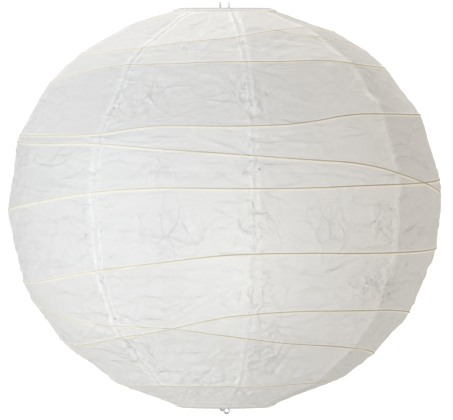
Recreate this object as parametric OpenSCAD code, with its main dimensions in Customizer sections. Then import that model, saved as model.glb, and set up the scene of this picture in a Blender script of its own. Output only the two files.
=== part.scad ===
// Round paper lantern on a removable wire spreader.
// Origin: centre of the globe. +Z is up, the front of the spreader is on -Y.

/* [Globe] */
// Widest diameter of the paper globe
globe_d = 450; // [400:5:500]
// Height between the centres of the two end rings
ring_gap = 410; // [380:1:430]
// Diameter of the end rings, to the centre of their wire
ring_d = 93; // [90:1:110]
// Fullness of the globe's upper half: 2 is an ellipsoid, more bulges out towards the top
upper_fullness = 2.2; // [2:0.05:2.4]
// Fullness of the globe's lower half
lower_fullness = 2; // [2:0.05:2.4]
// Angle that the paper shade is turned from the spreader, in degrees
shade_turn = -3; // [-180:1:180]

/* [Paper] */
// Number of paper gores
gore_count = 8; // [8:1:8]
// Thickness of the modelled paper
paper_t = 0.25; // [0.2:0.01:0.3]
// Width of the glued lap between two gores, at the equator
lap_w = 10; // [4:1:12]
// Height of each gore's end above the equator
gore_end_z = 204; // [200:0.5:204]
// Radius at which the hem strip starts
hem_start_r = 54; // [54:1:70]

/* [Splints] */
// Diameter of a bamboo splint
splint_d = 2.6; // [1.6:0.1:3]
// Height at which the splints end, above and below the equator
splint_end_z = 201; // [199:0.5:202]
// Half height of the stretch over which the cross splint ducks under a crossing
duck_reach = 16; // [12:1:24]

/* [Steel] */
// Diameter of the end rings' wire
ring_wire_d = 2.4; // [2:0.1:3]
// Diameter of the spreader legs' wire
leg_wire_d = 2; // [1.6:0.1:2]
// Bend radius of the leg wire
leg_bend_r = 2.2; // [2:0.1:3]
// Bore of the lamp holder ring
holder_bore_d = 42; // [40:0.5:44]
// Outside diameter of the lamp holder ring
holder_ring_d = 51; // [48:1:56]
// Thickness of the lamp holder ring
holder_t = 1.5; // [1:0.1:2]
// Height of the lamp holder ring and the leg rivets above the equator
holder_z = 185; // [180:1:187]
// Height of the tips of the legs above the equator
leg_tip_z = 212.6; // [211:0.1:216]
// Depth of the foot loops below the equator
foot_z = 212.6; // [211:0.1:216]
// Width of a foot loop, between the centres of its two wires
foot_w = 4.5; // [4.5:0.1:6]
// Diameter of the rivets
rivet_d = 2.4; // [2:0.1:2.6]

/* [Hidden] */

$fn = 64;

paper_colour = [0.95, 0.94, 0.91];
splint_colour = [0.85, 0.76, 0.56];
steel_colour = [0.68, 0.69, 0.71];

globe_r = globe_d / 2;
ring_r = ring_d / 2;
ring_z = ring_gap / 2;
paper_gap = 0.05;              // air between two layers of paper
inner_layer = paper_t + paper_gap;
gore_steps = 32;
gore_crowding = 75;            // degrees: more puts more of the steps near the gore's ends
gore_facets = 180;
gore_angle = 360 / gore_count;
lap_angle = lap_w / globe_r * 180 / PI;
first_seam = 8;                // angle of a seam, to the right of the front of the shade

hem_t = 0.3;
hem_wrap = [72, 250];          // stretch of the ring's section that the hem wraps
hem_steps = 20;
ring_facets = 120;
hem_inner_r = ring_r - ring_wire_d / 2 - paper_gap - hem_t;

splint_gap = 0.85;             // depth of the splints' outer side under the globe's surface
spiral_depth = splint_gap + splint_d / 2;
splint_steps = 9;              // degrees per stretch of splint
splint_sides = 6;
splice_gap = 0.1;              // degrees left between two splints that follow each other
beside = splint_d * 1.5;       // closer to a turn than this, the cross splint lies fully under it

// The main splint winds up from the bottom ring to the top ring. A row is one turn:
// its heights at the angles of visible_angles, from the left over the front to the right.
visible_angles = [-90, -60, -40, -20, 0, 20, 40, 60, 90];
spiral_turns = [
    [-184, -185, -184, -184, -184, -184, -182, -181, -180],
    [-143, -141, -133, -124, -110, -104, -104, -105, -110],
    [-78, -73, -63, -54, -45, -43, -44, -44, -42],
    [-3, 8, 18, 24, 24, 24, 26, 27, 30],
    [76, 77, 79, 88, 88, 90, 99, 99, 97],
    [131, 141, 150, 152, 154, 154, 155, 150, 146],
    [162, 164, 167, 174, 178, 184, 188, 188, 184]
];
spiral_start = [-180, -splint_end_z];
spiral_end = [[2340, 189], [2430, 194], [2480, splint_end_z]];
spiral_stations = concat(
    [spiral_start],
    [for (k = [0:len(spiral_turns) - 1], i = [0:len(visible_angles) - 1])
        [360 * k + visible_angles[i], spiral_turns[k][i]]],
    spiral_end
);
// The cross splint winds down the other way. A station is [angle, height].
cross_stations = [
    [24, 190.5], [36, 185], [48, 182.5], [60, 179], [75, 171], [90, 163],
    [270, 71], [300, 69], [320, 70], [340, 65], [360, 60], [380, 54], [400, 48],
    [420, 33], [435, 22], [450, 11],
    [630, -95], [660, -112], [680, -120], [700, -123], [720, -129], [740, -137],
    [760, -141], [780, -146], [810, -155], [880, -splint_end_z]
];

clear_gap = 0.1;               // what the spreader stays short of the rings' bores
wire_sides = 16;
bend_step = 22.5;              // most degrees that one stretch of a wire's bend turns
leg_x = -foot_w / 2;           // each leg stands beside the lug that its rivet holds
leg_y = 41;
rivet_y = 38;
shoulder_y = sqrt(pow(hem_inner_r - clear_gap - leg_wire_d / 2, 2) - leg_x * leg_x);
// heights of a leg's bends, from the rings' centres towards the equator
tip_bend = 1;
upper_shoulder = [6, 10];
lower_shoulder = [5, 10];
shaft_bend = 15;
eye_bend = 5;                  // above the rivet
rivet_play = 0.05;
eye_r = 3.2;
eye_t = leg_wire_d + 0.4;
lug_t = 1.5;
lug_r = 4;
lug_h = 6;
lug_root = 3;                  // how far the lug's foot reaches in past its round end
arm_w = 5;
arm_start_y = holder_bore_d / 2 + 1.5;
arm_end_y = rivet_y - eye_r - 1.6;  // the flat arm ends clear of the leg's eye
head_r = 2.2;
head_t = 0.8;
head_gap = 0.1;
through = 20;                  // length of the cutters for bores and rivet holes

// ---- the globe's surface: a point's place in [radius, height], and its outward normal ----

// The globe passes through both end rings. globe_b is its half height if the rings weren't there.

function fullness(z) = z > 0 ? upper_fullness : lower_fullness;
function globe_b(n) = ring_z / pow(1 - pow(ring_r / globe_r, 2), 1 / n);
function surface_r(z) = let (n = fullness(z)) globe_r * sqrt(1 - pow(abs(z) / globe_b(n), n));
function slope_at(z) =
    let (
        n = fullness(z), b = globe_b(n),
        v = [2 * surface_r(z) / pow(globe_r, 2), sign(z) * n * pow(abs(z) / b, n - 1) / b]
    )
    v / norm(v);
function upper_height(r) =
    globe_b(upper_fullness) * pow(1 - pow(r / globe_r, 2), 1 / upper_fullness);
function lower_height(r) =
    globe_b(lower_fullness) * pow(1 - pow(r / globe_r, 2), 1 / lower_fullness);
function under(z, depth) = [surface_r(z), z] - depth * slope_at(z);

// ---- splint heights: a smooth curve through stations of [angle, height] ----

function secant(s, i) = (s[i + 1][1] - s[i][1]) / (s[i + 1][0] - s[i][0]);
function tangent(s, i) =
    i == 0 ? secant(s, 0)
    : i == len(s) - 1 ? secant(s, i - 1)
    : let (before = s[i][0] - s[i - 1][0], after = s[i + 1][0] - s[i][0])
      (secant(s, i - 1) * after + secant(s, i) * before) / (before + after);
function span_of(s, a, i = 0) = i >= len(s) - 2 || a < s[i + 1][0] ? i : span_of(s, a, i + 1);
function height_at(s, a) =
    let (
        i = span_of(s, a), w = s[i + 1][0] - s[i][0], t = (a - s[i][0]) / w,
        t2 = t * t, t3 = t2 * t
    )
    (2 * t3 - 3 * t2 + 1) * s[i][1] + (t3 - 2 * t2 + t) * w * tangent(s, i)
    + (3 * t2 - 2 * t3) * s[i + 1][1] + (t3 - t2) * w * tangent(s, i + 1);

// how far the nearest turn of the main splint is, up or down, from height z at angle a
function turn_distance(a, z) = min([
    for (k = [-len(spiral_turns):len(spiral_turns)]) let (b = a + 360 * k)
        if (b >= spiral_stations[0][0] && b <= spiral_stations[len(spiral_stations) - 1][0])
            abs(height_at(spiral_stations, b) - z)
]);
function duck_share(distance) =
    let (t = min(1, max(0, (distance - beside) / (duck_reach - beside))))
    (1 + cos(180 * t)) / 2;

function cross_depth(a) = spiral_depth
    + (splint_d + clear_gap) * duck_share(turn_distance(a, height_at(cross_stations, a)));

function around(flat, a) = let (b = a - 90 + shade_turn) [flat[0] * cos(b), flat[0] * sin(b), flat[1]];

// a closed tube over rings of n points each, listed ring by ring
module tube(points, n) {
    last = len(points) / n - 1;
    polyhedron(points, concat(
        [[for (j = [0:n - 1]) j]],
        [for (i = [0:last - 1], j = [0:n - 1])
            [i * n + j, (i + 1) * n + j, (i + 1) * n + (j + 1) % n, i * n + (j + 1) % n]],
        [[for (j = [0:n - 1]) last * n + n - 1 - j]]
    ));
}

module splint(stations, from, to, ducks) {
    steps = ceil((to - from) / splint_steps);
    angles = [for (i = [0:steps]) from + (to - from) * i / steps];
    depths = [for (a = angles) ducks ? cross_depth(a) : spiral_depth];
    heights = [for (a = angles) height_at(stations, a)];
    centres = [for (i = [0:steps]) around(under(heights[i], depths[i]), angles[i])];
    rings = [for (i = [0:steps])
        let (
            ahead = centres[min(i + 1, steps)] - centres[max(i - 1, 0)],
            out = around(slope_at(heights[i]), angles[i]),
            side = cross(ahead / norm(ahead), out),
            u = side / norm(side)
        )
        for (j = [0:splint_sides - 1]) let (b = 360 / splint_sides * (j + 0.5))
            centres[i] + splint_d / 2 * (cos(b) * u + sin(b) * out)
    ];
    tube(rings, splint_sides);
}

// the k-th turn of a splint, which runs from back to back
module splint_turn(k, stations, ducks) color(splint_colour)
    splint(
        stations,
        max(360 * k - 540, stations[0][0]) + splice_gap,
        min(360 * k - 180, stations[len(stations) - 1][0]) - splice_gap,
        ducks
    );

module spiral_splint(k) splint_turn(k, spiral_stations, false);
module cross_splint(k) splint_turn(k, cross_stations, true);

// ---- paper ----

// one gore, a thin sector of the globe. Odd gores lie on top of the even ones at their laps.
module paper_gore(k) {
    depth = k % 2 == 1 ? 0 : inner_layer;
    heights = [for (i = [0:gore_steps])
        gore_end_z * sin(gore_crowding * (2 * i / gore_steps - 1)) / sin(gore_crowding)];
    outline = concat(
        [for (z = heights) under(z, depth)],
        [for (i = [gore_steps:-1:0]) under(heights[i], depth + paper_t)]
    );
    start = first_seam - 90 + shade_turn + gore_angle * (k - 1) - lap_angle / 2;
    color(paper_colour) rotate([0, 0, start])
        rotate_extrude(angle = gore_angle + lap_angle, $fn = gore_facets) polygon(outline);
}

// a hem strip, glued on the gores' ends and folded round a ring to its inner side. start is
// where it begins on the globe, as [radius, height] points on its lower and its upper side.
module hem(start) {
    wrap_r = ring_wire_d / 2 + paper_gap;
    wrap = [for (i = [0:hem_steps])
        let (b = hem_wrap[0] + (hem_wrap[1] - hem_wrap[0]) * i / hem_steps) [cos(b), sin(b)]];
    centre = [ring_r, ring_z];
    outline = concat(
        [start[0]],
        [for (w = wrap) centre + wrap_r * w],
        [for (i = [hem_steps:-1:0]) centre + (wrap_r + hem_t) * wrap[i]],
        [start[1]]
    );
    color(paper_colour) rotate_extrude($fn = ring_facets) polygon(outline);
}

function hem_start(z) = [under(z, -paper_gap), under(z, -paper_gap - hem_t)];
module top_hem() hem(hem_start(upper_height(hem_start_r)));
module bottom_hem() mirror([0, 0, 1])
    hem([for (p = hem_start(-lower_height(hem_start_r))) [p[0], -p[1]]]);

// ---- steel ----

module end_ring(z) color(steel_colour) translate([0, 0, z])
    rotate_extrude($fn = ring_facets) translate([ring_r, 0]) circle(d = ring_wire_d, $fn = 24);

// the centre line of a wire through corners, each rounded to bend radius r
function rounded_path(corners, r) =
    let (
        last = len(corners) - 1,
        dirs = [for (i = [0:last - 1]) (corners[i + 1] - corners[i]) / norm(corners[i + 1] - corners[i])]
    )
    concat([corners[0]], [for (i = [1:last - 1])
        let (
            turn = acos(dirs[i - 1] * dirs[i]),
            steps = max(2, ceil(turn / bend_step)),
            inward = (dirs[i] - dirs[i - 1] * cos(turn)) / sin(turn),
            centre = corners[i] - r * tan(turn / 2) * dirs[i - 1] + r * inward
        )
        for (j = [0:steps]) let (b = turn * j / steps)
            centre + r * (sin(b) * dirs[i - 1] - cos(b) * inward)
    ], [corners[last]]);

function heading(p, i) =
    let (v = p[min(i + 1, len(p) - 1)] - p[max(i - 1, 0)]) v / norm(v);
// a side direction at each point of a path, carried along so that the wire never twists
function carried(p, side, i = 0) =
    let (t = heading(p, i), v = side - (side * t) * t, u = v / norm(v))
    i == len(p) - 1 ? [u] : concat([u], carried(p, u, i + 1));

// a round wire through corners, bent to radius r. side is any direction across its start.
module formed_wire(corners, d, r, side) {
    path = rounded_path(corners, r);
    sides = carried(path, side);
    tube([for (i = [0:len(path) - 1]) for (j = [0:wire_sides - 1])
        let (b = 360 / wire_sides * (j + 0.5), v = cross(heading(path, i), sides[i]))
        path[i] + d / 2 * (cos(b) * sides[i] + sin(b) * v)], wire_sides);
}

// one leg: the tip above the top ring, a shoulder under that ring, the eye on its rivet,
// the long shaft, a shoulder over the bottom ring, and the foot loop below it
module leg_rear() {
    foot_low = -foot_z + leg_wire_d / 2;
    upper = [
        [leg_x, leg_y, leg_tip_z], [leg_x, leg_y, ring_z - tip_bend],
        [leg_x, shoulder_y, ring_z - upper_shoulder[0]],
        [leg_x, shoulder_y, ring_z - upper_shoulder[1]],
        [leg_x, rivet_y, holder_z + eye_bend], [leg_x, rivet_y, holder_z]
    ];
    lower = [
        [leg_x, rivet_y, holder_z], [leg_x, leg_y, shaft_bend - ring_z],
        [leg_x, shoulder_y, lower_shoulder[1] - ring_z],
        [leg_x, shoulder_y, lower_shoulder[0] - ring_z],
        [leg_x, leg_y, tip_bend - ring_z], [leg_x, leg_y, foot_low],
        [-leg_x, leg_y, foot_low], [-leg_x, leg_y, tip_bend - ring_z]
    ];
    color(steel_colour) difference() {
        union() {
            formed_wire(upper, leg_wire_d, leg_bend_r, [1, 0, 0]);
            formed_wire(lower, leg_wire_d, leg_bend_r, [1, 0, 0]);
            translate([leg_x, rivet_y, holder_z]) rotate([0, 90, 0])
                cylinder(r = eye_r, h = eye_t, center = true);
        }
        rivet_hole();
    }
}

module leg_front() rotate([0, 0, 180]) leg_rear();

module rivet_hole() translate([0, rivet_y, holder_z]) rotate([0, 90, 0])
    cylinder(d = rivet_d + 2 * rivet_play, h = through, center = true);

// the flat ring that the lamp holder clamps, with its two arms and their upright lugs
module holder_ring() color(steel_colour) difference() {
    union() {
        translate([0, 0, holder_z - holder_t / 2])
            cylinder(d = holder_ring_d, h = holder_t, $fn = ring_facets);
        for (turn = [0, 180]) rotate([0, 0, turn]) {
            translate([-arm_w / 2, arm_start_y, holder_z - holder_t / 2])
                cube([arm_w, arm_end_y - arm_start_y, holder_t]);
            translate([-lug_t / 2, rivet_y - lug_r - lug_root, holder_z - lug_h / 2])
                cube([lug_t, lug_r + lug_root, lug_h]);
            translate([0, rivet_y, holder_z]) rotate([0, 90, 0])
                cylinder(r = lug_r, h = lug_t, center = true);
        }
    }
    translate([0, 0, holder_z]) cylinder(d = holder_bore_d, h = through, center = true, $fn = ring_facets);
    for (turn = [0, 180]) rotate([0, 0, turn]) rivet_hole();
}

module rivet_rear() {
    low = leg_x - eye_t / 2 - head_gap;
    high = lug_t / 2 + head_gap;
    color(steel_colour) translate([0, rivet_y, holder_z]) rotate([0, 90, 0]) {
        translate([0, 0, low]) cylinder(d = rivet_d, h = high - low);
        translate([0, 0, low - head_t]) cylinder(r = head_r, h = head_t);
        translate([0, 0, high]) cylinder(r = head_r, h = head_t);
    }
}

module rivet_front() rotate([0, 0, 180]) rivet_rear();

holder_ring();
rivet_front();
rivet_rear();
leg_front();
leg_rear();
end_ring(ring_z);  // top_ring
top_hem();
end_ring(-ring_z);  // bottom_ring
bottom_hem();
paper_gore(1);  // paper_gore_1
paper_gore(2);  // paper_gore_2
paper_gore(3);  // paper_gore_3
paper_gore(4);  // paper_gore_4
paper_gore(5);  // paper_gore_5
paper_gore(6);  // paper_gore_6
paper_gore(7);  // paper_gore_7
paper_gore(8);  // paper_gore_8
spiral_splint(1);  // spiral_splint_1
spiral_splint(2);  // spiral_splint_2
spiral_splint(3);  // spiral_splint_3
spiral_splint(4);  // spiral_splint_4
spiral_splint(5);  // spiral_splint_5
spiral_splint(6);  // spiral_splint_6
spiral_splint(7);  // spiral_splint_7
spiral_splint(8);  // spiral_splint_8
cross_splint(1);  // cross_splint_1
cross_splint(2);  // cross_splint_2
cross_splint(3);  // cross_splint_3
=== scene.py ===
"""Looks of a round paper lantern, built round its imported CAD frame. Lengths are in metres."""
import math

import bpy
import numpy as np
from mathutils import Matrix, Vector


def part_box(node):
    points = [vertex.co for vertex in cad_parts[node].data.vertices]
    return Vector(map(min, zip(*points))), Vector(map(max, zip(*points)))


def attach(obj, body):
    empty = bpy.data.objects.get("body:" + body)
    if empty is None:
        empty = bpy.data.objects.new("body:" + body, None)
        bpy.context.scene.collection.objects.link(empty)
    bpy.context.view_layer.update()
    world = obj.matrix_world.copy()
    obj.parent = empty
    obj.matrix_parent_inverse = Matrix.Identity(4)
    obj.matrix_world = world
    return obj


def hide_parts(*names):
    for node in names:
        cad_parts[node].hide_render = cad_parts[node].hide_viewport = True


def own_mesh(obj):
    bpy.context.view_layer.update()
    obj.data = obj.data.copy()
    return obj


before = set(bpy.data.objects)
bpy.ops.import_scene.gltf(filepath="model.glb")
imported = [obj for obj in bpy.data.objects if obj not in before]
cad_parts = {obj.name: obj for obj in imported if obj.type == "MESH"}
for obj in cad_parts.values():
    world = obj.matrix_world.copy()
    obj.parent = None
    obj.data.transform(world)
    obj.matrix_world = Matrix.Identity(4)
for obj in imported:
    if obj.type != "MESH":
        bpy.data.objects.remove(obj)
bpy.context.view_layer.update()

MM = 0.001
TURN = 360.0

# ---------------------------------------------------------------- sizes read from the frame


def points(node):
    """A CAD node's own vertices, each once."""
    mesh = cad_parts[node].data
    flat = np.empty(len(mesh.vertices) * 3)
    mesh.vertices.foreach_get("co", flat)
    return np.unique(flat.reshape(-1, 3).round(7), axis=0)


def angle_of(p):
    return np.degrees(np.arctan2(p[..., 1], p[..., 0]))


GORES = sorted(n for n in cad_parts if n.startswith("paper_gore_"))
SPIRAL = sorted(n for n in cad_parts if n.startswith("spiral_splint_"))
CROSS = sorted(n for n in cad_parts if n.startswith("cross_splint_"))

ring_low, ring_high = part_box("top_ring")
WIRE_R = (ring_high[2] - ring_low[2]) / 2
RING_Z = (ring_high[2] + ring_low[2]) / 2
RING_R = ring_high[0] - WIRE_R
GLOBE_R = max(np.hypot(*points(g)[:, :2].T).max() for g in GORES)
GORE_END = points(GORES[0])[:, 2].max()
GORE_SPAN = TURN / len(GORES)
first_gore = points(GORES[0]).mean(axis=0)
FIRST_SEAM = math.degrees(math.atan2(first_gore[1], first_gore[0])) - GORE_SPAN / 2

# ---------------------------------------------------------------- sizes of the paper

COLUMN = 0.5  # degrees between two columns of the paper's mesh
LAP_COLUMNS = 2  # columns that an outer gore runs past its seam
ROW = 2.2 * MM  # about the distance between two rows of it
RIDGE = 1.3 * MM  # rows lie this close to a splint, where the paper bends over it
LAYER = 0.35 * MM  # depth of the inner layer of paper
FEATHER = 0.28 * MM  # how far an outer gore's edge is pressed down on to the layer under it
TUCK = 0.5 * MM  # how much deeper an inner gore's edge lies, one column under an outer gore
PAPER_T = 0.12 * MM  # the paper's thickness
LEAST_BAND = 0.9 * MM  # two splints never count as closer than this
TAUT = 0.012  # taut paper curves in by this share of the gap between two splints
FAR = 0.1  # a splint further off than this doesn't matter
RUN_OUT = 50.0  # degrees over which the paper forgets a splint that has ended
GORE_TONES_AND_SHADE = (0.83, 0.47, 0.8, 1.0, 0.85, 1.0, 0.95, 1.0)  # the gores are not all the same white: partly their own tone, partly painted shade matched to how the light falls on each gore


def smooth(x, y):
    """A smooth curve through (x, y)."""
    left, right = np.diff(x)[:-1], np.diff(x)[1:]
    step = np.diff(y) / np.diff(x)
    inner = (step[:-1] * right + step[1:] * left) / (left + right)
    slopes = np.concatenate([[step[0]], inner, [step[-1]]])

    def at(u):
        i = np.clip(np.searchsorted(x, u) - 1, 0, len(x) - 2)
        w = x[i + 1] - x[i]
        t = (u - x[i]) / w
        return (
            (2 * t**3 - 3 * t**2 + 1) * y[i]
            + (t**3 - 2 * t**2 + t) * w * slopes[i]
            + (3 * t**2 - 2 * t**3) * y[i + 1]
            + (t**3 - t**2) * w * slopes[i + 1]
        )

    return at


def meridian():
    """The globe's outline as (height, radius), from an outer gore's own outer face."""
    level_gap, level_reach, thinnest, least_step = 0.5 * MM, 0.3 * MM, 0.05 * MM, 1.5 * MM
    p = points(max(GORES, key=lambda g: np.hypot(*points(g)[:, :2].T).max()))
    r, z = np.hypot(p[:, 0], p[:, 1]), p[:, 2]
    levels = np.unique((z / level_gap).round()) * level_gap
    found = []
    for level in levels:
        near = np.abs(z - level) < level_reach
        both_faces = r[near].max() > r[near].min() + thinnest
        if both_faces or level in (levels[0], levels[-1]):
            top = np.argmax(np.where(near, r, 0))
            found.append((z[top], r[top]))
    outer = [(-RING_Z, RING_R)]
    for here, radius in found:
        if here - outer[-1][0] > least_step:
            outer.append((here, radius))
    while RING_Z - outer[-1][0] < least_step:
        outer.pop()
    outer.append((RING_Z, RING_R))
    return np.array(outer)


OUTLINE = smooth(*meridian().T)


def surface_r(z):
    """The globe's radius at height z."""
    return OUTLINE(np.clip(z, -RING_Z, RING_Z))


def slope_at(z):
    """The globe's outward normal at height z, as (radial part, upward part)."""
    step = 0.5 * MM
    above, below = np.clip(z + step, -RING_Z, RING_Z), np.clip(z - step, -RING_Z, RING_Z)
    fall = (surface_r(above) - surface_r(below)) / (above - below)
    size = np.sqrt(1 + fall**2)
    return 1 / size, -fall / size


ARC_Z = np.linspace(-RING_Z, RING_Z, 801)
ARC = np.concatenate([[0], np.cumsum(np.hypot(np.diff(ARC_Z), np.diff(surface_r(ARC_Z))))])
ARC -= ARC[-1] / 2


def arc_at(z):
    """Length along the meridian, from its middle up to height z."""
    return np.interp(z, ARC_Z, ARC)


def height_at(along):
    """The height at a length along the meridian."""
    return np.interp(along, ARC, ARC_Z)


def degrees_apart(angle, other):
    return (angle - other + TURN / 2) % TURN - TURN / 2


def seam_offset(angle, radius):
    """Distance round the globe from the nearest seam, negative on one side of it."""
    off = (angle - FIRST_SEAM + GORE_SPAN / 2) % GORE_SPAN - GORE_SPAN / 2
    return off * radius * (math.pi / 180)


# ---------------------------------------------------------------- the splints' centre lines


def rings_of(angles):
    """Groups a splint's vertices into its cross-sections, in order of angle."""
    least_gap = 2.0  # degrees
    order = np.argsort(angles)
    cuts = np.where(np.diff(angles[order]) > least_gap)[0] + 1
    return np.split(order, cuts)


def splice_angle():
    """Where each turn of splint hands over to the next: there a turn has two heights."""
    p = points(SPIRAL[len(SPIRAL) // 2])
    angles = angle_of(p)
    tallest = max(rings_of(angles), key=lambda i: np.ptp(p[i, 2]))
    return float(angles[tallest].mean())


SPLICE = splice_angle()


def centre_line(nodes):
    """(angle from the first splice, height, depth under the surface) along a run of splints."""
    found = []
    clear = 1.5  # degrees from a splice, where the end faces of two turns are left out
    for k, node in enumerate(nodes):
        p = points(node)
        angles = (angle_of(p) - SPLICE) % TURN
        for ring in rings_of(angles):
            here = angles[ring].mean()
            if clear < here < TURN - clear:
                c = p[ring].mean(axis=0)
                r, up = slope_at(c[2])
                depth = (surface_r(c[2]) - math.hypot(c[0], c[1])) * r
                found.append((k * TURN + here, c[2], depth))
    return np.array(sorted(found))


SPIRAL_LINE, CROSS_LINE = centre_line(SPIRAL), centre_line(CROSS)
SPIRAL_Z = smooth(SPIRAL_LINE[:, 0], SPIRAL_LINE[:, 1])
CROSS_Z = smooth(CROSS_LINE[:, 0], CROSS_LINE[:, 1])
SPIRAL_SPAN = (SPIRAL_LINE[0, 0], SPIRAL_LINE[-1, 0])
CROSS_SPAN = (CROSS_LINE[0, 0], CROSS_LINE[-1, 0])


# ---------------------------------------------------------------- meshes


def new_mesh(name, verts, faces, smooth_faces=True):
    mesh = bpy.data.meshes.new(name)
    mesh.from_pydata(np.asarray(verts).tolist(), [], faces)
    mesh.polygons.foreach_set("use_smooth", [smooth_faces] * len(mesh.polygons))
    mesh.update()
    obj = bpy.data.objects.new(name, mesh)
    bpy.context.scene.collection.objects.link(obj)
    return obj


def store(obj, name, values):
    """Keeps one number per vertex on the mesh, for its material."""
    attribute = obj.data.attributes.new(name, "FLOAT", "POINT")
    attribute.data.foreach_set("value", np.asarray(values, np.float32).ravel())


def grid_faces(rows, columns, first=0, flip=False, wrap=False):
    """Faces of a grid of rows by columns vertices, numbered row by row."""
    across = columns if wrap else columns - 1
    i, j = np.meshgrid(np.arange(rows - 1), np.arange(across), indexing="ij")
    k = (j + 1) % columns
    quads = np.stack([i * columns + j, i * columns + k, (i + 1) * columns + k, (i + 1) * columns + j], -1)
    quads = quads.reshape(-1, 4) + first
    return (quads[:, ::-1] if flip else quads).tolist()


def sheet(name, outer, inner, rows, columns):
    """A closed thin sheet between two grids of points."""
    n = rows * columns
    rim = np.concatenate([
        np.arange(columns),
        np.arange(2, rows) * columns - 1,
        np.arange(n - 1, n - columns - 1, -1),
        np.arange(rows - 2, 0, -1) * columns,
    ])
    after = np.roll(rim, -1)
    edge = np.stack([rim + n, after + n, after, rim], -1).tolist()
    faces = grid_faces(rows, columns) + grid_faces(rows, columns, n, flip=True) + edge
    return new_mesh(name, np.concatenate([outer, inner]), faces)


def band(name, under, over, flip):
    """A closed thin band right round the globe, between two grids of points."""
    rows, columns, _ = under.shape
    n = rows * columns
    faces = grid_faces(rows, columns, n, flip=flip, wrap=True)
    faces += grid_faces(rows, columns, flip=not flip, wrap=True)
    j = np.arange(columns)
    k = (j + 1) % columns
    last = (rows - 1) * columns
    first_rim = np.stack([j, k, k + n, j + n], -1)
    last_rim = np.stack([j + n + last, k + n + last, k + last, j + last], -1)
    rims = np.concatenate([first_rim, last_rim])
    faces += (rims[:, ::-1] if flip else rims).tolist()
    return new_mesh(name, np.concatenate([under.reshape(-1, 3), over.reshape(-1, 3)]), faces)


def tube(name, centres, outs, half_wide, half_deep, sides):
    """A closed tube along centres. outs point away from the globe; the section is an oval."""
    ahead = np.gradient(centres, axis=0)
    ahead /= np.linalg.norm(ahead, axis=1)[:, None]
    side = np.cross(ahead, outs)
    side /= np.linalg.norm(side, axis=1)[:, None]
    out = np.cross(side, ahead)
    turn = np.linspace(0, 2 * math.pi, sides, endpoint=False)
    wide, deep = np.asarray(half_wide)[:, None, None], np.asarray(half_deep)[:, None, None]
    ring = (
        centres[:, None]
        + wide * np.cos(turn)[None, :, None] * side[:, None]
        + deep * np.sin(turn)[None, :, None] * out[:, None]
    )
    n = len(centres)
    faces = grid_faces(n, sides, flip=True, wrap=True)
    faces += [list(range(sides)), list(range((n - 1) * sides, n * sides))[::-1]]
    return new_mesh(name, ring.reshape(-1, 3), faces)


# ---------------------------------------------------------------- wrinkles in the paper


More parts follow.
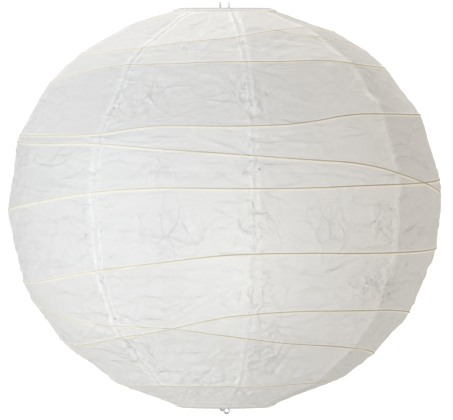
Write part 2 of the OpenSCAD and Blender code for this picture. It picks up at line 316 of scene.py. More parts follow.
class Wrinkles:
    """Creases and slow waves in the paper, as a height over (angle, length along the meridian)."""

    def __init__(self, seed):
        self.rng = np.random.default_rng(seed)
        self.creases, self.spots = [], []
        self.top = arc_at(GORE_END)

    def crease(self, angle, along, lean, length, width, height):
        """A straight fold at a place on the globe. lean is its angle up from level, in degrees."""
        self.creases.append((angle, along, math.radians(lean), length, width, height))

    def scatter(self, count, angle, spread, low, high, leans, lengths, widths, heights):
        """Creases about one meridian: spread is a distance, low and high are shares of its length."""
        r = self.rng
        for _ in range(count):
            along = r.uniform(low, high) * self.top
            radius = max(float(surface_r(height_at(along))), 2 * RING_R)
            off = math.degrees(r.normal(0, spread) / radius)
            sign = r.choice([-1, 1])
            self.crease(
                angle + off, along, sign * r.uniform(*leans), r.uniform(*lengths),
                r.uniform(*widths), r.uniform(*heights) * r.choice([-1, 1]),
            )

    def fold(self, start, end, width, height):
        """One long crease between two places, each an angle right of the front and a height."""
        (a0, z0), (a1, z1) = start, end
        dx = math.radians(a1 - a0) * float(surface_r((z0 + z1) / 2))
        dy = float(arc_at(z1) - arc_at(z0))
        self.crease((a0 + a1) / 2 - 90, float(arc_at((z0 + z1) / 2)), math.degrees(math.atan2(dy, dx)),
                    math.hypot(dx, dy), width, height)

    def patch(self, front, z, size, count, height):
        """A crushed spot: short creases in all directions."""
        r, radius, along = self.rng, float(surface_r(z)), float(arc_at(z))
        self.spots.append((front - 90, along, size))
        for _ in range(count):
            self.crease(
                front - 90 + math.degrees(r.normal(0, size) / radius), along + r.normal(0, 1.2 * size),
                r.uniform(20, 160), r.uniform(12, 42) * MM, r.uniform(2.8, 4.6) * MM,
                height * r.uniform(0.5, 1.0) * r.choice([-1, 1]),
            )

    def waves(self, x, y, cell, seed):
        """Smooth noise of about -1 to 1 with bumps one cell apart."""
        u, v = x / cell, y / cell
        i, j = np.floor(u).astype(int), np.floor(v).astype(int)
        fu, fv = u - i, v - j
        fu, fv = fu * fu * (3 - 2 * fu), fv * fv * (3 - 2 * fv)

        def corner(a, b):  # a whole number's bits, shuffled
            n = (a * 374761393 + b * 668265263 + seed * 1442695041) & 0xFFFFFFFF
            n = ((n ^ (n >> 13)) * 1274126177) & 0xFFFFFFFF
            return ((n ^ (n >> 16)) & 0xFFFF) / 32767.5 - 1

        low = corner(i, j) * (1 - fu) + corner(i + 1, j) * fu
        high = corner(i, j + 1) * (1 - fu) + corner(i + 1, j + 1) * fu
        return low * (1 - fv) + high * fv

    def crumple(self, x, y, across, up, seed):
        """Sharp folds in all directions, like paper that was once crushed: about -1 to 1."""
        warp = 0.35 * across * self.waves(x, y, 2.2 * across, seed + 50)
        a = np.abs(self.waves(x + warp, y * across / up, across, seed))
        b = np.abs(self.waves(x - y * 0.7, (y + warp) * across / up, 0.55 * across, seed + 9))
        return 1 - 2.2 * a + 0.5 * (1 - 2.2 * b)

    def height(self, angle, along, radius):
        """How far the paper stands off its smooth shape at each point."""
        total = np.zeros_like(along)
        for at, y0, lean, length, width, amount in self.creases:
            dx = degrees_apart(angle, at) * radius * (math.pi / 180)
            dy = along - y0
            reach = length / 2 + width
            near = (np.abs(dx) < reach) & (np.abs(dy) < reach)
            if not near.any():
                continue
            dx, dy = dx[near], dy[near]
            u = dx * math.cos(lean) + dy * math.sin(lean)
            v = dy * math.cos(lean) - dx * math.sin(lean)
            fold = np.maximum(0, 1 - np.abs(v) / width)
            total[near] += amount * fold * np.maximum(0, 1 - (2 * u / length) ** 2)
        total *= 0.8  # next to the crumple, the creases are this much shallower than listed
        x = np.radians(angle) * GLOBE_R
        patchy = np.clip(0.5 + 0.9 * self.waves(x, along, 34 * MM, 21), 0, 1)
        by_seam = np.exp(-((seam_offset(angle, radius) / (15 * MM)) ** 2)) * (0.3 + 0.7 * patchy)
        total += by_seam * 0.42 * MM * self.crumple(x, along, 15 * MM, 10 * MM, 31)
        cap = np.clip((np.abs(along) / self.top - 0.62) / 0.2, 0, 1)
        total += (0.12 + 0.36 * patchy + 0.15 * cap) * MM * self.crumple(x, along, 22 * MM, 13 * MM, 41)
        total += (0.06 + 0.16 * patchy) * MM * self.crumple(x, along, 40 * MM, 8 * MM, 61)
        total *= self.relief(along)
        # no fold stands out too far, least of all near the rings
        most = np.interp(np.abs(along) / self.top, [0.6, 0.9], [2.2 * MM, 0.7 * MM])
        total = most * np.tanh(total / most)
        held = np.clip((self.top - np.abs(along)) / (22 * MM), 0, 1)
        total += 0.8 * MM * held * self.waves(x, along, 41 * MM, 1)
        return total

    def crushed(self, angle, along, radius):
        """1 in the middle of a crushed spot, falling to 0 outside."""
        total = np.zeros_like(along)
        for at, y, size in self.spots:
            dx = degrees_apart(angle, at) * radius * (math.pi / 180)
            off = np.hypot(dx / 1.3, (along - y) / 1.7)  # a spot is a little taller than wide
            total = np.maximum(total, np.exp(-(off**2) / (2 * size**2)))
        return total

    def relief(self, along):
        """The paper is most wrinkled about the middle, tauter above and held flat by the hems."""
        return np.interp(along / self.top, [-1, -0.93, -0.85, -0.5, 0, 0.4, 0.75, 0.93, 1],
                         [0, 0.5, 1.0, 1.5, 1.7, 1.1, 0.6, 0.4, 0])


def lantern_wrinkles():
    """The folds of this lantern. The crushed spots and long folds at the front lie where the photo
    has them, and those behind are guesses."""
    w = Wrinkles(seed=11)
    half = GORE_SPAN / 2
    for k in range(len(GORES)):
        seam = FIRST_SEAM + k * GORE_SPAN
        # crinkles where two gores are pasted together
        w.scatter(70, seam, 16 * MM, -0.92, 0.92, (0, 70), (14 * MM, 45 * MM), (3 * MM, 5.5 * MM),
                  (0.3 * MM, 0.9 * MM))
        # pulls that run out from the seam into the gore
        w.scatter(40, seam, 28 * MM, -0.95, 0.95, (2, 35), (30 * MM, 90 * MM), (3.5 * MM, 7 * MM),
                  (0.5 * MM, 1.4 * MM))
        # folds that fan out from both end rings
        for end in (-1, 1):
            low, high = sorted((0.7 * end, 0.99 * end))
            w.scatter(28, seam + half, 34 * MM, low, high, (30, 88), (30 * MM, 75 * MM),
                      (3.2 * MM, 6.5 * MM), (0.5 * MM, 1.6 * MM))
        # creases across the middle of the gore
        w.scatter(75, seam + half, 42 * MM, -0.85, 0.85, (0, 35), (30 * MM, 110 * MM),
                  (3 * MM, 6.5 * MM), (0.4 * MM, 1.2 * MM))
    # the most crushed spots: degrees right of the front, height, reach, how many folds, how deep
    for front, z, reach, count, deep in (
        (4, 0.123, 0.015, 42, 1.1), (-36, 0.121, 0.016, 36, 1.0), (7, -0.016, 0.015, 22, 0.8),
        (44, -0.018, 0.013, 24, 1.0), (45, -0.076, 0.016, 38, 1.2), (8, -0.09, 0.014, 24, 0.9),
        (-37, -0.145, 0.014, 26, 1.0), (14, -0.145, 0.015, 26, 1.0), (4, 0.05, 0.012, 18, 0.8),
        (-27, 0.118, 0.012, 24, 0.9), (-20, 0.046, 0.010, 14, 0.7), (-16, -0.02, 0.016, 20, 0.7),
        (26, -0.02, 0.014, 16, 0.7), (55, 0.150, 0.013, 18, 0.9), (132, 0.09, 0.018, 36, 1.0),
        (-128, -0.03, 0.018, 36, 1.0), (-82, 0.07, 0.017, 30, 1.0), (98, -0.07, 0.017, 30, 1.0),
        (176, 0.02, 0.018, 30, 0.9),
    ):
        w.patch(front, z, reach, count, deep * MM)
    # long folds, from and to: degrees right of the front and height
    for start, end, width, deep in (
        ((-40, -0.001), (3.5, -0.042), 4.5, -0.9), ((1.4, -0.126), (9.4, -0.176), 5, 1.4),
        ((22.5, -0.137), (19.4, -0.179), 5, -1.3), ((-31.8, -0.127), (-35.3, -0.175), 5, 1.3),
        ((53.2, -0.049), (53.5, -0.124), 5, -1.3), ((-12, 0.007), (-10.5, -0.034), 6, 1.0),
        ((-23.3, -0.051), (-1, -0.061), 5, 0.8), ((16.9, 0.002), (30.1, -0.011), 5, -0.9),
        ((26.9, -0.06), (45.3, -0.092), 5, 1.0), ((-20, 0.004), (-19, -0.036), 6, -0.8),
        ((150, 0.10), (168, 0.06), 5, 1.1), ((-150, -0.05), (-120, -0.09), 5, -1.0),
    ):
        w.fold(start, end, width * MM, deep * MM)
    return w


WRINKLES = lantern_wrinkles()


# ---------------------------------------------------------------- paper


def splint_levels(local):
    """Heights of every splint that passes behind each column, and how many degrees past its end the
    column is. A column is an angle from the splice. Past its end a splint's height runs out to the
    gore's end, so that the paper's shape changes slowly there."""
    levels, past = [], []
    for height, span, falls in ((SPIRAL_Z, SPIRAL_SPAN, False), (CROSS_Z, CROSS_SPAN, True)):
        for turn in range(-1, len(SPIRAL) + 1):
            u = local + TURN * turn
            if u.max() < span[0] - RUN_OUT or u.min() > span[1] + RUN_OUT:
                continue
            z = height(np.clip(u, *span))
            before, after = (RING_Z, -RING_Z) if falls else (-RING_Z, RING_Z)
            early, late = np.maximum(span[0] - u, 0), np.maximum(u - span[1], 0)
            for degrees, to in ((early, before), (late, after)):
                share = np.clip(degrees / RUN_OUT, 0, 1)
                z = z + (to - z) * share**2 * (3 - 2 * share)
            levels.append(z)
            past.append(early + late)
    return np.array(levels), np.array(past)


def paper_rows(local):
    """Radius and height at every row and column of a gore, and the distances down to the next
    splint and up to the next one. The paper spans straight from one splint to the next."""
    splints, past = splint_levels(local)
    ends = np.full((1, len(local)), GORE_END)
    knots = np.concatenate([-ends, np.sort(splints, axis=0), ends])
    for i in range(1, len(knots)):
        knots[i] = np.maximum(knots[i], knots[i - 1] + LEAST_BAND)
    knots[-1] = GORE_END
    for i in range(len(knots) - 2, -1, -1):
        knots[i] = np.minimum(knots[i], knots[i + 1] - LEAST_BAND)
    rows_r, rows_z = [], []
    for low, high in zip(knots[:-1], knots[1:]):
        r_low, r_high = surface_r(low), surface_r(high)
        gap = np.hypot(high - low, r_high - r_low)
        inner = max(2, int(round(gap.mean() / ROW)))
        margin = np.minimum(RIDGE / gap, 0.2)
        bow_r, bow_up = slope_at((low + high) / 2)
        for s in [0 * gap] + [margin + (1 - 2 * margin) * i / inner for i in range(inner + 1)]:
            bow = TAUT * gap * 4 * s * (1 - s)
            rows_r.append(r_low + (r_high - r_low) * s - bow * bow_r)
            rows_z.append(low + (high - low) * s - bow * bow_up)
    rows_r.append(surface_r(knots[-1]))
    rows_z.append(knots[-1])
    r, z = np.array(rows_r), np.array(rows_z)
    over = arc_at(z)[None] - arc_at(splints)[:, None]
    distance = np.hypot(over, np.radians(past)[:, None] * r[None])
    on_it = 0.05 * MM  # a point this near to a splint is on it
    above = np.where(over >= -on_it, distance, FAR).min(axis=0)
    below = np.where(over <= on_it, distance, FAR).min(axis=0)
    return r, z, np.minimum(above, FAR), np.minimum(below, FAR)


def build_gore(node, number):
    """One gore of paper as a closed thin sheet. Every other gore lies on top of its neighbours."""
    outer_layer = np.hypot(*points(node)[:, :2].T).max() > GLOBE_R - LAYER / 2
    lap = LAP_COLUMNS if outer_layer else 1 - LAP_COLUMNS
    first = number * GORE_SPAN / COLUMN - lap
    count = int(round(GORE_SPAN / COLUMN)) + 2 * lap + 1
    angle = FIRST_SEAM + (first + np.arange(count)) * COLUMN
    middle = angle.mean()
    local = (middle - SPLICE) % TURN + (angle - middle)
    r, z, above, below = paper_rows(local)
    angles = np.broadcast_to(angle, r.shape)
    place = angles, arc_at(z), surface_r(z)
    d = np.minimum(above, below)
    free = 0.12 + 0.88 * np.clip((d - 1 * MM) / (9 * MM), 0, 1)  # the paper is pasted to its splints
    lift = WRINKLES.height(*place) * free
    # it is pressed down beside a splint, but not over it
    lift -= 0.5 * MM * (1 - np.exp(-((d / (1.1 * MM)) ** 2))) * np.exp(-((d / (6 * MM)) ** 2))
    lift = np.clip(lift, -3 * MM, 2 * MM)
    out_r, out_up = slope_at(z)
    from_edge = np.minimum(np.arange(count), np.arange(count)[::-1])
    pressed = FEATHER * np.maximum(0, 1 - from_edge / 2)
    depth = pressed if outer_layer else LAYER + TUCK * (from_edge == 0)

    def placed(sunk):
        rr, zz = r + (lift - sunk) * out_r, z + (lift - sunk) * out_up
        return np.stack([rr * np.cos(np.radians(angles)), rr * np.sin(np.radians(angles)), zz], -1)

    outer, inner = placed(depth).reshape(-1, 3), placed(depth + PAPER_T).reshape(-1, 3)
    obj = sheet(node.replace("paper_gore", "paper"), outer, inner, len(r), count)
    for name, values in (
        # a gore's tone: its own white, partly painted shade
        ("tone", np.full(r.shape, GORE_TONES_AND_SHADE[number])),
        ("doubled", np.broadcast_to(outer_layer & (from_edge <= 1), r.shape)),
        ("crushed", WRINKLES.crushed(*place)),
        ("relief", WRINKLES.relief(arc_at(z))),
        ("above_splint", above),
        ("below_splint", below),
        ("seam_gap", np.abs(seam_offset(angles, surface_r(z)))),
        ("sheet_x", np.radians(angles) * GLOBE_R),
        ("sheet_y", arc_at(z)),
    ):
        store(obj, name, np.concatenate([values.ravel()] * 2))  # the same on both faces
    return obj


# ---------------------------------------------------------------- splints


STRIP_SIDES = 12
STRIP_STEP = 2.0  # degrees between two cross-sections
STRIP_RISE = 0.5 * MM  # the strip lies this much nearer the paper than in the CAD


def uneven(rng, length, step, share):
    """A factor near 1 that wanders along a strip, with a new value every step."""
    places = np.arange(0, 2, step)  # longer than the longest strip, in metres
    return 1 + share * np.interp(length, places, rng.normal(0, 1, len(places)))


def build_splint(node, line, height, start, end):
    """A split bamboo strip just under the paper, along one CAD splint."""
    rng = np.random.default_rng(sum(map(ord, node)))
    u = np.linspace(start, end, int((end - start) / STRIP_STEP))
    z = height(u)
    depth = np.interp(u, line[:, 0], line[:, 2]) - STRIP_RISE
    out_r, out_up = slope_at(z)
    a = np.radians(u + SPLICE)
    r, zz = surface_r(z) - depth * out_r, z - depth * out_up
    centres = np.stack([r * np.cos(a), r * np.sin(a), zz], -1)
    outs = np.stack([out_r * np.cos(a), out_r * np.sin(a), out_up], -1)
    length = np.concatenate([[0], np.cumsum(np.linalg.norm(np.diff(centres, axis=0), axis=1))])
    wide = 1.15 * MM * uneven(rng, length, 0.03, 0.07)
    deep = 0.85 * MM * uneven(rng, length, 0.05, 0.05)
    knots = np.arange(rng.uniform(0.02, 0.2), length[-1], rng.uniform(0.26, 0.33))
    for knot in knots:  # the nodes of the bamboo stalk, left as slight swellings
        swell = np.exp(-(((length - knot) / (3 * MM)) ** 2))
        wide, deep = wide * (1 + 0.16 * swell), deep * (1 + 0.12 * swell)
    for ends in (length, length[-1] - length):  # the strip is pared down to its ends
        pared = 0.45 + 0.55 * np.minimum(1, ends / (12 * MM))
        wide, deep = wide * np.sqrt(pared), deep * pared
    obj = tube(node.replace("splint", "strip"), centres, outs, wide, deep, STRIP_SIDES)
    near = np.abs(length[:, None] - knots[None]).min(axis=1)
    store(obj, "stalk_node", np.repeat(np.exp(-((near / (2.5 * MM)) ** 2)), STRIP_SIDES))
    store(obj, "along", np.repeat(length, STRIP_SIDES))
    return obj


# ---------------------------------------------------------------- hems


HEM_COLUMNS = 720
HEM_T = 0.22 * MM  # a hem is two layers of paper
HEM_GAP = 0.08 * MM  # between the wire and the hem folded round it


def build_hem(node):
    """A narrow strip of paper pasted over the gores' ends and folded round the ring, in two
    pieces: the skirt on the gores, and the fold round the wire. Also gives the height where the
    one meets the other."""
    up = 1 if node == "top_hem" else -1
    start_r = np.hypot(*points(node)[:, :2].T).max()
    half = np.linspace(RING_Z, 0.5 * RING_Z, 400)
    start_z = float(np.interp(start_r, surface_r(up * half), half))
    wrap_r = WIRE_R + HEM_GAP
    out_r, out_up = slope_at(up * start_z)
    out_up = abs(out_up)
    skirt = np.linspace(0, 1, 14)[:-1]
    wrap = np.radians(np.linspace(72, 250, 22))
    fold = np.stack([np.cos(wrap), np.sin(wrap)], -1)
    wrapped = np.array([RING_R, RING_Z]) + wrap_r * fold
    begin = np.array([start_r + 0.1 * MM * out_r, start_z + 0.1 * MM * out_up])
    path = np.concatenate([begin + (wrapped[0] - begin) * skirt[:, None], wrapped])
    side = np.concatenate([np.tile(fold[0], (len(skirt), 1)), fold])
    angle = np.radians(np.arange(HEM_COLUMNS) * TURN / HEM_COLUMNS)[None]
    x = angle * RING_R
    # 1 at the strip's free edge, 0 where the fold begins
    share = np.concatenate([1 - skirt, np.zeros(len(fold))])[:, None]
    pleats = WRINKLES.waves(x * np.ones_like(share), share * 4 * MM, 3.1 * MM, 5 + up)
    pleats += 0.5 * WRINKLES.waves(x * np.ones_like(share), share * 9 * MM, 1.7 * MM, 9 + up)
    lift = 0.22 * MM * (pleats + 0.6) * (0.3 + 0.7 * np.minimum(1, share * 3))
    edge = 0.8 * MM * WRINKLES.waves(x, x * 0, 11 * MM, 14 + up)  # the strip's torn edge wanders
    lift = lift - 0.75 * MM * share**7  # pasted down: no gap shows under its edge

    def placed(rise):
        r = path[:, :1] + side[:, :1] * (rise + lift) + edge * share**4
        z = path[:, 1:] + side[:, 1:] * (rise + lift) - 0.33 * edge * share**4
        return np.stack([r * np.cos(angle), r * np.sin(angle), up * z * np.ones_like(angle)], -1)

    under, over = placed(0.0), placed(HEM_T)
    pieces = []
    for name, part in (("_skirt", slice(0, len(skirt) + 1)), ("_fold", slice(len(skirt), None))):
        obj = band(node + name, under[part], over[part], flip=up < 0)
        store(obj, "share", np.concatenate([np.repeat(share[part, 0], HEM_COLUMNS)] * 2))
        pieces.append(obj)
    return pieces, up * wrapped[0, 1]


# ---------------------------------------------------------------- materials


class Nodes:
    """A short way to write a material's node tree."""

    def __init__(self, name):
        self.material = bpy.data.materials.new(name)
        self.material.use_nodes = True
        self.tree = self.material.node_tree
        self.tree.nodes.clear()
        self.output = self.tree.nodes.new("ShaderNodeOutputMaterial")

    def add(self, kind, inputs=None, **settings):
        node = self.tree.nodes.new("ShaderNode" + kind)
        for key, value in settings.items():
            setattr(node, key, value)
        for key, value in (inputs or {}).items():
            if isinstance(value, bpy.types.NodeSocket):
                self.tree.links.new(value, node.inputs[key])
            else:
                node.inputs[key].default_value = value
        return node

    def maths(self, operation, *values):
        return self.add("Math", dict(enumerate(values)), operation=operation).outputs[0]

    def value(self, name):
        return self.add("Attribute", attribute_name=name).outputs["Fac"]

    def place(self, scale=(1, 1, 1)):
        at = self.add("TexCoord").outputs["Object"]
        return self.add("Mapping", {"Vector": at, "Scale": scale}).outputs[0]

    def noise(self, vector, scale, detail=3.0, roughness=0.5):
        return self.add("TexNoise", {"Vector": vector, "Scale": scale, "Detail": detail,
                                     "Roughness": roughness}).outputs["Fac"]

    def mix(self, share, a, b):
        node = self.add("Mix", data_type="RGBA")
        for key, value in (("Factor", share), ("A", a), ("B", b)):
            socket = next(s for s in node.inputs if s.name == key and (key == "Factor" or s.type == "RGBA"))
            if isinstance(value, bpy.types.NodeSocket):
                self.tree.links.new(value, socket)
            else:
                socket.default_value = value
        return next(s for s in node.outputs if s.type == "RGBA")

    def ramp(self, value, low, high, to_low=0.0, to_high=1.0):
        return self.add("MapRange", {"Value": value, "From Min": low, "From Max": high, "To Min": to_low,
                                     "To Max": to_high}).outputs[0]

    def bump(self, height, distance, strength=1.0, over=None):
        inputs = {"Height": height, "Distance": distance, "Strength": strength}
        return self.add("Bump", inputs | ({"Normal": over} if over else {})).outputs[0]

    def finish(self, shader):
        self.tree.links.new(shader, self.output.inputs["Surface"])
        return self.material


def rgb(r, g, b):
    return (r, g, b, 1.0)


def fine_creases(n):
    """Creases too narrow for the mesh, as a height: the straight edges of flat facets."""
    flat = n.add("CombineXYZ", {"X": n.value("sheet_x"), "Y": n.value("sheet_y")}).outputs[0]
    warp = n.add("TexNoise", {"Vector": flat, "Scale": 30.0, "Detail": 1.0}).outputs["Color"]
    warp = n.add("VectorMath", {0: warp, 1: (0.012, 0.012, 0)}, operation="MULTIPLY").outputs[0]
    bent = n.add("VectorMath", {0: flat, 1: warp}, operation="ADD").outputs[0]

    def facets(scale, stretch, lean, line, place):
        turned = n.add("Mapping", {"Vector": bent, "Scale": (stretch, 1, 1), "Location": (place, 0, 0),
                                   "Rotation": (0, 0, math.radians(lean))}).outputs[0]
        edge = n.add("TexVoronoi", {"Vector": turned, "Scale": scale}, voronoi_dimensions="2D",
                     feature="DISTANCE_TO_EDGE").outputs["Distance"]
        return n.ramp(edge, 0.0, line, 1.0, 0.0)

    def patches(scale, place):
        there = n.add("Mapping", {"Vector": flat, "Location": (place, 7, 0)}).outputs[0]
        return n.ramp(n.noise(there, scale, 2.0), 0.42, 0.62)

    seam = n.ramp(n.value("seam_gap"), 8 * MM, 34 * MM, 1.0, 0.0)
    crushed = n.value("crushed")
    total = 0.0
    for lined, share in (
        (facets(30.0, 0.22, 4, 0.06, 1), patches(22.0, 0)),
        (facets(24.0, 0.3, -20, 0.055, 2), patches(17.0, 3)),
        (facets(38.0, 0.35, 24, 0.08, 3), patches(26.0, 5)),
        (facets(62.0, 0.6, 40, 0.12, 4), n.maths("MULTIPLY", seam, 0.4)),
        (facets(46.0, 1.1, -20, 0.1, 5), n.maths("MULTIPLY", crushed, 0.9)),
        (facets(68.0, 0.8, 60, 0.13, 6), n.maths("MULTIPLY", crushed, 0.5)),
    ):
        total = n.maths("ADD", total, n.maths("MULTIPLY", lined, share))
    return n.maths("MULTIPLY", total, n.value("relief"))


def show_splints(n, at, colour, share):
    """The splints and the paste at splints and seams, seen through the paper, and a painted shade line
    along each splint: the new colour, and the new share of light that comes through."""
    above, below = n.value("above_splint"), n.value("below_splint")
    # the paste on a splint backs the paper, mostly on its lower side
    backed = n.maths("MAXIMUM", n.ramp(above, 1.3 * MM, 2.3 * MM, 1.0, 0.0),
                     n.ramp(below, 1.9 * MM, 3.0 * MM, 1.0, 0.0))
    # the dark line along a splint: partly the strip seen through the paper, partly painted shade
    splint_and_shade_line = n.ramp(n.maths("MINIMUM", above, below), 0.3 * MM, 0.9 * MM, 1.0, 0.0)
    # painted shade: the dark line along each splint grows darker towards the right, the side away from the
    # main light
    x = n.add("SeparateXYZ", {0: at}).outputs[0]
    shade_towards_right = n.ramp(x, -0.17, 0.12, 0.2, 0.85)
    colour = n.mix(n.maths("MULTIPLY", backed, 0.7), colour, rgb(0.95, 0.925, 0.83))
    colour = n.mix(n.maths("MULTIPLY", splint_and_shade_line, shade_towards_right), colour, rgb(0.34, 0.28, 0.19))
    # a seam's paste lies in an uneven band a little way from its middle
    uneven_edge = n.maths("MULTIPLY", n.maths("SUBTRACT", n.noise(at, 60.0, 2.0, 0.6), 0.5), 3 * MM)
    gap = n.maths("ADD", n.value("seam_gap"), uneven_edge)
    lap = n.maths("MULTIPLY", n.ramp(gap, 4.0 * MM, 6.5 * MM, 1.0, 0.0), n.ramp(gap, 1.0 * MM, 2.4 * MM))
    solid = n.maths("MAXIMUM", n.maths("MULTIPLY", backed, 0.5), n.maths("MULTIPLY", lap, 0.7))
    return colour, n.maths("MULTIPLY", share, n.maths("SUBTRACT", 1.0, solid))


def paper_material(name, tone, over_splints):
    """Thin white paper that lets light through: long fibres, cloudy thickness, fine tooth."""
    n = Nodes(name)
    at = n.place()
    cloud = n.noise(at, 38.0, 4.0, 0.6)
    fibre_a = n.noise(n.place((1, 1, 9)), 150.0, 5.0, 0.65)
    fibre_b = n.noise(n.place((5, 5, 1)), 170.0, 5.0, 0.65)
    fibres = n.maths("MULTIPLY", n.ramp(fibre_a, 0.52, 0.72), n.ramp(fibre_b, 0.45, 0.7))
    colour = n.mix(n.ramp(cloud, 0.3, 0.7), rgb(*tone), rgb(*(c * 0.97 for c in tone)))
    colour = n.mix(n.maths("MULTIPLY", fibres, 0.35), colour, rgb(0.98, 0.97, 0.94))
    if over_splints:  # each gore has its own tone, partly painted shade, and two layers of paper look a little greyer
        colour = n.mix(n.value("tone"), rgb(0.62, 0.615, 0.60), colour)
        colour = n.mix(n.maths("MULTIPLY", n.value("doubled"), 0.22), colour, rgb(0.78, 0.78, 0.77))
    else:  # the wire ring shows through a hem where the hem is folded round it, and the fold is painted darker as the shade under its roll
        colour = n.mix(n.ramp(n.value("share"), 0.04, 0.3, 0.8, 0.0), colour, rgb(0.44, 0.44, 0.43))
    share = n.ramp(cloud, 0.25, 0.75, 0.33, 0.27)
    if over_splints:
        colour, share = show_splints(n, at, colour, share)
    tooth = n.maths("ADD", n.noise(at, 900.0, 3.0, 0.6), n.maths("MULTIPLY", fibres, 0.8))
    normal = n.bump(tooth, 0.03 * MM, 0.6)
    if over_splints:
        normal = n.bump(fine_creases(n), 0.5 * MM, 1.0, normal)
    face = n.add("BsdfPrincipled", {"Base Color": colour, "Roughness": 0.68, "Normal": normal,
                                    "Specular IOR Level": 0.15})
    through = n.add("BsdfTranslucent", {"Color": colour, "Normal": normal})
    lit = n.add("MixShader", {0: share, 1: face.outputs[0], 2: through.outputs[0]})
    clear = n.add("BsdfTransparent")
    # a sheet has two faces a hair apart: each acts only on light that comes to it from the air
    back = n.add("NewGeometry").outputs["Backfacing"]
    whole = n.add("MixShader", {0: back, 1: lit.outputs[0], 2: clear.outputs[0]})
    return n.finish(whole.outputs[0])


def bamboo_material():
    """Split bamboo: straight pale grain along the strip, darker at the stalk's nodes."""
    n = Nodes("bamboo")
    along = n.value("along")
    at = n.add("TexCoord").outputs["Object"]
    stretched = n.add("CombineXYZ", {"X": n.maths("MULTIPLY", along, 9.0),
                                     "Y": n.add("SeparateXYZ", {0: at}).outputs[2]})
    grain = n.noise(stretched.outputs[0], 520.0, 6.0, 0.6)
    slow = n.noise(n.place(), 26.0, 2.0)
    colour = n.mix(n.ramp(grain, 0.35, 0.68), rgb(0.60, 0.48, 0.29), rgb(0.80, 0.70, 0.50))
    colour = n.mix(n.ramp(slow, 0.3, 0.75, 0.0, 0.45), colour, rgb(0.68, 0.62, 0.42))
    colour = n.mix(n.maths("MULTIPLY", n.value("stalk_node"), 0.75), colour, rgb(0.34, 0.25, 0.13))
    face = n.add("BsdfPrincipled", {"Base Color": colour, "Roughness": n.ramp(grain, 0.3, 0.7, 0.42, 0.6),
                                    "Normal": n.bump(grain, 0.05 * MM, 0.7)})
    return n.finish(face.outputs[0])


def steel_material(name, tone, rough, grain_scale):
    """Zinc-plated steel wire or strip: cloudy plating, fine drawing marks, a little dulling."""
    n = Nodes(name)
    at = n.place()
    cloud = n.noise(at, 140.0, 4.0, 0.6)
    marks = n.noise(n.place((1, 1, 0.04)), grain_scale, 3.0, 0.7)
    dull = n.ramp(n.noise(at, 45.0, 5.0, 0.7), 0.55, 0.75)
    colour = n.mix(n.ramp(cloud, 0.3, 0.7), rgb(*tone), rgb(*(c * 0.8 for c in tone)))
    colour = n.mix(n.maths("MULTIPLY", dull, 0.5), colour, rgb(0.36, 0.34, 0.31))
    drawn = n.ramp(marks, 0.3, 0.7, rough - 0.08, rough + 0.1)
    roughness = n.maths("ADD", drawn, n.maths("MULTIPLY", dull, 0.2))
    face = n.add("BsdfPrincipled", {"Base Color": colour, "Metallic": 0.95, "Roughness": roughness,
                                    "Normal": n.bump(marks, 0.02 * MM, 0.5)})
    return n.finish(face.outputs[0])


def floor_material():
    """A plain pale floor, very slightly cloudy."""
    n = Nodes("studio_floor")
    soft = n.noise(n.place(), 1.3, 3.0)
    colour = n.mix(soft, rgb(0.70, 0.70, 0.69), rgb(0.73, 0.73, 0.72))
    face = n.add("BsdfPrincipled", {"Base Color": colour, "Roughness": 0.85})
    return n.finish(face.outputs[0])


def dress(obj, material):
    obj.data.materials.clear()
    obj.data.materials.append(material)


def smooth_by_angle(obj):
    """Rounds off a CAD node's shading where its faces meet at a slight angle."""
    slight_bend = math.radians(35)
    group = bpy.data.node_groups.get("smooth_by_angle")
    if group is None:
        group = bpy.data.node_groups.new("smooth_by_angle", "GeometryNodeTree")
        group.interface.new_socket("Geometry", in_out="INPUT", socket_type="NodeSocketGeometry")
        group.interface.new_socket("Geometry", in_out="OUTPUT", socket_type="NodeSocketGeometry")
        start, end = group.nodes.new("NodeGroupInput"), group.nodes.new("NodeGroupOutput")
        merge = group.nodes.new("GeometryNodeMergeByDistance")
        merge.inputs["Distance"].default_value = 1e-6
        faces = group.nodes.new("GeometryNodeSetShadeSmooth")
        edges = group.nodes.new("GeometryNodeSetShadeSmooth")
        edges.domain = "EDGE"
        bend = group.nodes.new("GeometryNodeInputMeshEdgeAngle")
        slight = group.nodes.new("FunctionNodeCompare")
        slight.operation = "LESS_THAN"
        slight.inputs[1].default_value = slight_bend
        link = group.links.new
        link(start.outputs[0], merge.inputs["Geometry"])
        link(merge.outputs[0], faces.inputs["Geometry"])
        link(faces.outputs[0], edges.inputs["Geometry"])
        link(bend.outputs["Unsigned Angle"], slight.inputs[0])
        link(slight.outputs[0], edges.inputs["Shade Smooth"])
        link(edges.outputs[0], end.inputs[0])
    obj.modifiers.new("smooth_by_angle", "NODES").node_group = group


# ---------------------------------------------------------------- the lantern

PAPER = paper_material("rice_paper", (0.90, 0.90, 0.90), True)
HEM_PAPER = paper_material("hem_paper", (0.90, 0.89, 0.88), False)
BAMBOO = bamboo_material()
SPREADER_STEEL = steel_material("spreader_steel", (0.62, 0.63, 0.65), 0.34, 700.0)
RING_STEEL = steel_material("ring_steel", (0.50, 0.50, 0.51), 0.45, 500.0)
RIVET_STEEL = steel_material("rivet_steel", (0.68, 0.68, 0.69), 0.28, 900.0)


def stand_in(piece, node, body, material):
    """Puts a finished piece on a body, in place of a CAD node."""
    dress(piece, material)
    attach(piece, body)
    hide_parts(node)


def folds_flat(piece):
    """Gives a piece its own copy of its mesh."""
    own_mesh(piece)


for number, node in enumerate(GORES):
    piece = build_gore(node, number)
    stand_in(piece, node, "shade", PAPER)
    folds_flat(piece)

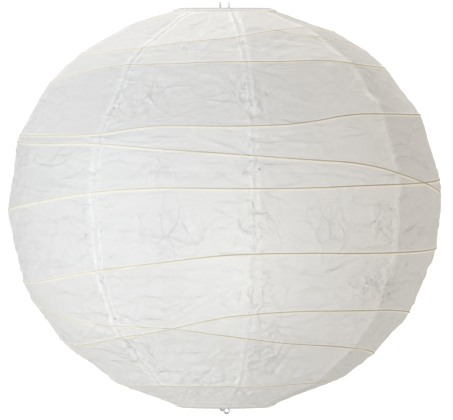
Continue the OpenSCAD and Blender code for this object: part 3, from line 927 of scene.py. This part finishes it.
STRIP_GAP = 0.15  # degrees between a splice and the end of a strip
runs = ((SPIRAL, SPIRAL_LINE, SPIRAL_Z, SPIRAL_SPAN), (CROSS, CROSS_LINE, CROSS_Z, CROSS_SPAN))
for nodes, line, height, span in runs:
    for k, node in enumerate(nodes):
        start = max(span[0], k * TURN) + STRIP_GAP
        end = min(span[1], (k + 1) * TURN) - STRIP_GAP
        piece = build_splint(node, line, height, start, end)
        stand_in(piece, node, "shade", BAMBOO)
        folds_flat(piece)

for node, body in (("top_hem", "shade"), ("bottom_hem", "shade_foot")):
    pieces, brim = build_hem(node)
    for piece in pieces:
        stand_in(piece, node, body, HEM_PAPER)
    folds_flat(pieces[0])  # the skirt, like the paper that it is pasted on, gets its own copy of its mesh

for node, material in (
    ("holder_ring", SPREADER_STEEL), ("leg_front", SPREADER_STEEL), ("leg_rear", SPREADER_STEEL),
    ("rivet_front", RIVET_STEEL), ("rivet_rear", RIVET_STEEL),
    ("top_ring", RING_STEEL), ("bottom_ring", RING_STEEL),
):
    dress(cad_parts[node], material)
    smooth_by_angle(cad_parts[node])


# ---------------------------------------------------------------- studio


def aim(obj, target):
    obj.rotation_euler = (Vector(target) - obj.location).to_track_quat("-Z", "Y").to_euler()


def area_light(name, place, size, watts, colour, target=(0, 0, 0)):
    data = bpy.data.lights.new(name, "AREA")
    data.shape = "DISK"
    data.size = size
    data.energy = watts
    data.color = colour
    obj = bpy.data.objects.new(name, data)
    obj.location = place
    bpy.context.scene.collection.objects.link(obj)
    aim(obj, target)


def studio():
    """A pale floor, a bright backdrop and three soft lights."""
    floor_z, half = -0.75, 9.0
    corners = [(x * half, y * half, floor_z) for x, y in ((-1, -1), (1, -1), (1, 1), (-1, 1))]
    floor = new_mesh("studio_floor", corners, [(0, 1, 2, 3)], smooth_faces=False)
    dress(floor, floor_material())
    world = bpy.data.worlds.new("studio")
    bpy.context.scene.world = world
    world.use_nodes = True
    tree = world.node_tree
    add, link = tree.nodes.new, tree.links.new
    # the backdrop is bright white to the camera, and lights the lantern more softly than it looks
    background = tree.nodes["Background"]
    strength = add("ShaderNodeMapRange")
    strength.inputs["To Min"].default_value = 0.5
    strength.inputs["To Max"].default_value = 1.1
    camera_ray = add("ShaderNodeLightPath").outputs["Is Camera Ray"]
    link(camera_ray, strength.inputs["Value"])
    link(strength.outputs[0], background.inputs["Strength"])
    # daylight on the left, a warm room on the right
    side = add("ShaderNodeSeparateXYZ")
    link(add("ShaderNodeTexCoord").outputs["Generated"], side.inputs[0])
    across = add("ShaderNodeMapRange")
    across.inputs["From Min"].default_value = -1
    link(side.outputs[0], across.inputs["Value"])
    tint = add("ShaderNodeValToRGB")
    tint.color_ramp.elements[0].color = rgb(0.97, 0.99, 1.03)
    tint.color_ramp.elements[1].color = rgb(1.06, 1.0, 0.91)
    link(across.outputs[0], tint.inputs[0])
    seen = add("ShaderNodeMix")
    seen.data_type = "RGBA"
    colours = [x for x in seen.inputs if x.type == "RGBA"]
    link(camera_ray, seen.inputs["Factor"])
    link(tint.outputs[0], colours[0])
    colours[1].default_value = rgb(1, 1, 1)
    link(next(x for x in seen.outputs if x.type == "RGBA"), background.inputs["Color"])
    area_light("window", (-1.95, -2.45, 0.1), 0.7, 45.5, (0.93, 0.97, 1.0))
    area_light("fill", (3.0, -0.9, 0.4), 1.6, 26, (1.0, 0.92, 0.83))
    area_light("top", (-0.1, 2.3, 3.1), 1.2, 105, (1.0, 0.98, 0.94), (0, 0, 0.2))


def photo_camera():
    """A long lens from far away, a little above the lantern's middle and 3 degrees to its left."""
    seen_width, distance, rise = 468.63 * MM, 12.0, 0.24
    off_middle = (2.07 * MM, -2.59 * MM)
    turn = math.radians(-3)
    data = bpy.data.cameras.new("camera")
    data.sensor_width = 36
    data.lens = data.sensor_width * distance / seen_width
    data.shift_x, data.shift_y = (off / seen_width for off in off_middle)
    camera = bpy.data.objects.new("camera", data)
    camera.location = (distance * math.sin(turn), -distance * math.cos(turn), rise)
    bpy.context.scene.collection.objects.link(camera)
    aim(camera, (0, 0, 0))
    bpy.context.scene.camera = camera


studio()
photo_camera()
bpy.context.scene.view_settings.view_transform = "Standard"
